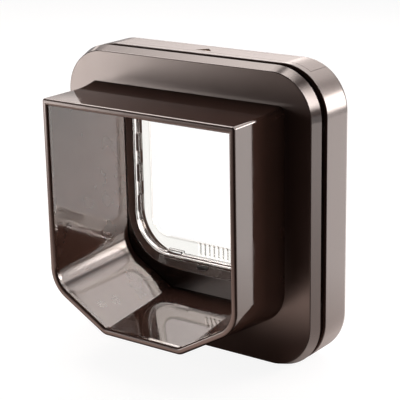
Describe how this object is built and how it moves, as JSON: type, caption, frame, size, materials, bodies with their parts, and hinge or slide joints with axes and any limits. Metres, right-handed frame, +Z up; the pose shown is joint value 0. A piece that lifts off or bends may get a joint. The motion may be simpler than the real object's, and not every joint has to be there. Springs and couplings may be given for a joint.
{
  "type": "cat flap",
  "caption": "Square brown cat flap with a deep outdoor tunnel, a clear swinging flap, latches at its sill and a battery housing indoors, clamped on both faces of a door.",
  "frame": {"origin": "on the ground under the middle of the part's box", "axes": "+X along the door, +Y from outdoors into the room, +Z up"},
  "size_m": [0.21, 0.0998, 0.21],
  "materials": {
    "brown_plastic": "gloss moulded",
    "dark_brown_plastic": "gloss moulded",
    "black_plastic": "moulded",
    "steel": "bright plated",
    "cell_jacket": "printed sleeve",
    "clear_plastic": "clear moulded",
    "clear_seal": "clear soft",
    "white_acetal": "moulded",
    "board_laminate": "solder mask",
    "copper_winding": "enamelled wire",
    "grey_button": "moulded"
  },
  "bodies": {
    "frame": {"antenna_coil": "copper_winding", "battery_contacts": "steel", "battery_lower_left": "cell_jacket", "battery_lower_right": "cell_jacket", "battery_tray": "black_plastic", "battery_upper_left": "cell_jacket", "battery_upper_right": "cell_jacket", "board_components": "black_plastic", "button_switch": "black_plastic", "circuit_board": "board_laminate", "clamp_screws": "steel", "entry_actuator": "steel", "exit_actuator": "steel", "exterior_frame": "brown_plastic", "frame_screws": "steel", "hinge_bush_left": "white_acetal", "hinge_bush_right": "white_acetal", "interior_housing": "brown_plastic", "screw_caps": "brown_plastic", "window_frame": "dark_brown_plastic"},
    "flap": {"flap_panel": "clear_plastic", "flap_seal": "clear_seal", "hinge_pin_left": "steel", "hinge_pin_right": "steel"},
    "exit_latch": {"exit_latch": "black_plastic", "exit_plunger": "steel"},
    "entry_latch": {"entry_latch": "black_plastic", "entry_plunger": "steel"},
    "battery_cover": {"battery_cover": "brown_plastic"},
    "learn_button": {"learn_button": "grey_button"}
  },
  "joints": [
    {"name": "flap_swing", "type": "hinge", "parent": "frame", "child": "flap", "pos_m": [0, 0.03895, 0.166], "axis": [1, 0, 0], "range_deg": [-80, 80]},
    {"name": "exit_latch_lift", "type": "slide", "parent": "frame", "child": "exit_latch", "axis": [0, 0, 1], "range_m": [0, 0.006]},
    {"name": "entry_latch_lift", "type": "slide", "parent": "frame", "child": "entry_latch", "axis": [0, 0, 1], "range_m": [0, 0.006]},
    {"name": "battery_cover_pull", "type": "slide", "parent": "frame", "child": "battery_cover", "axis": [0, 1, 0], "range_m": [0, 0.04]},
    {"name": "learn_button_press", "type": "slide", "parent": "frame", "child": "learn_button", "axis": [0, 0, -1], "range_m": [0, 0.0008], "stiffness_N_per_m": 400}
  ]
}
